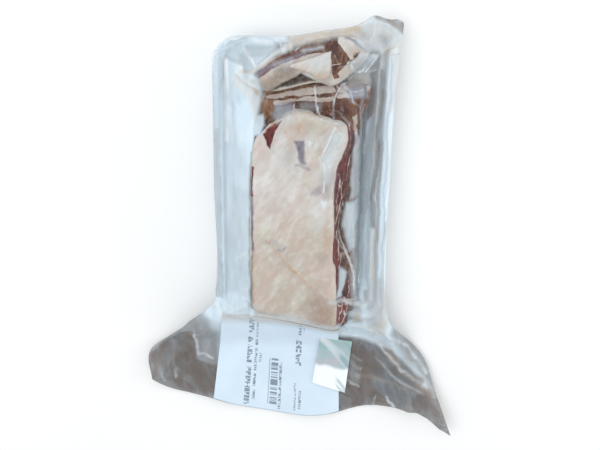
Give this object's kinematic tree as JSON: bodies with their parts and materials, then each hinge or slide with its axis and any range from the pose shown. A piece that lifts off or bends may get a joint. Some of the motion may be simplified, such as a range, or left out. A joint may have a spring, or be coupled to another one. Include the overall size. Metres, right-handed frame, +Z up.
{
  "type": "vacuum packed boneless short rib",
  "caption": "Slabs of boneless short rib on a shallow foam tray, sealed in a clear vacuum bag with a flat skirt, a paper label and a foil sticker.",
  "frame": {"origin": "centre of the foam tray's flat base, on the surface that the pack lies on", "axes": "+Z up out of the meat's shown side, +Y along the tray away from the bag's skirt, +X to the right as the label lies nearest"},
  "size_m": [0.2328, 0.3172, 0.0512],
  "materials": {
    "bag_film": "clear glossy film over pale fat, red meat and a white tray",
    "tray_foam": "matt white foam",
    "meat": "raw meat with a cream fat cap, under film",
    "label_paper": "smooth white label paper",
    "foil": "bright creased silver foil"
  },
  "bodies": {
    "root": {"sealed_bag": "bag_film", "label": "label_paper", "foil_sticker": "foil"}
  },
  "joints": []
}
